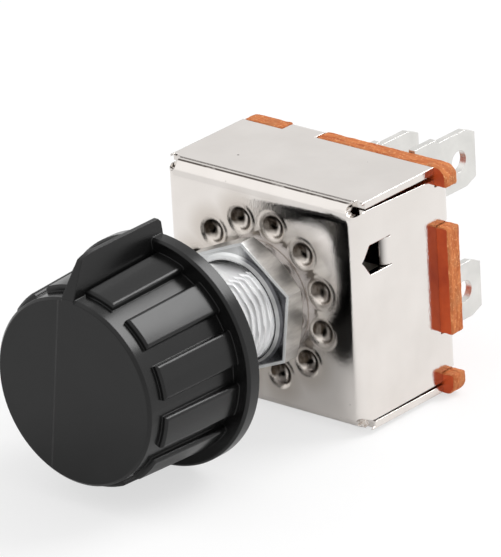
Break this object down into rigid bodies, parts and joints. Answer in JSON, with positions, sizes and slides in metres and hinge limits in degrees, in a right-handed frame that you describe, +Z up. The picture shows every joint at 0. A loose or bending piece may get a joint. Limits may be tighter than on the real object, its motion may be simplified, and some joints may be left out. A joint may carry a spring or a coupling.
{
  "type": "rotary switch",
  "caption": "Panel-mount rotary switch with a ribbed pointer knob, threaded bushing and nut, dimpled metal housing and blade terminals on a laminate board.",
  "frame": {"origin": "on the shaft axis, in the plane of the housing's outside mounting face", "axes": "+X right as the user sees the knob, +Y along the shaft axis towards the terminals, +Z up, where the pointer stands at rest"},
  "size_m": [0.0279, 0.0549, 0.027],
  "materials": {
    "plated_sheet": "satin nickel plate",
    "laminate": "orange-red fibre laminate",
    "zinc_casting": "plated zinc casting",
    "zinc_plate": "bright zinc plate",
    "shaft_metal": "plain",
    "nylon": "moulded",
    "hard_steel": "polished",
    "spring_wire": "drawn wire",
    "contact_copper": "bare",
    "terminal_strip": "tinned",
    "black_plastic": "satin"
  },
  "bodies": {
    "switch": {"housing": "plated_sheet", "terminal_board": "laminate", "bushing": "zinc_casting", "washer": "zinc_plate", "mounting_nut": "zinc_plate", "terminal_supply": "terminal_strip", "terminal_low": "terminal_strip", "terminal_medium": "terminal_strip", "terminal_high": "terminal_strip", "contact_rivet_supply": "contact_copper", "contact_rivet_low": "contact_copper", "contact_rivet_medium": "contact_copper", "contact_rivet_high": "contact_copper"},
    "knob_and_rotor": {"knob": "black_plastic", "knob_clip": "spring_wire", "shaft": "shaft_metal", "rotor": "nylon", "detent_ball_right": "hard_steel", "detent_ball_left": "hard_steel", "detent_spring_right": "spring_wire", "detent_spring_left": "spring_wire", "contact_plate": "contact_copper", "contact_spring": "spring_wire"}
  },
  "joints": [
    {"name": "knob_turn", "type": "hinge", "parent": "switch", "child": "knob_and_rotor", "pos_m": [0, 0, 0], "axis": [0, 1, 0], "range_deg": [0, 90]}
  ]
}
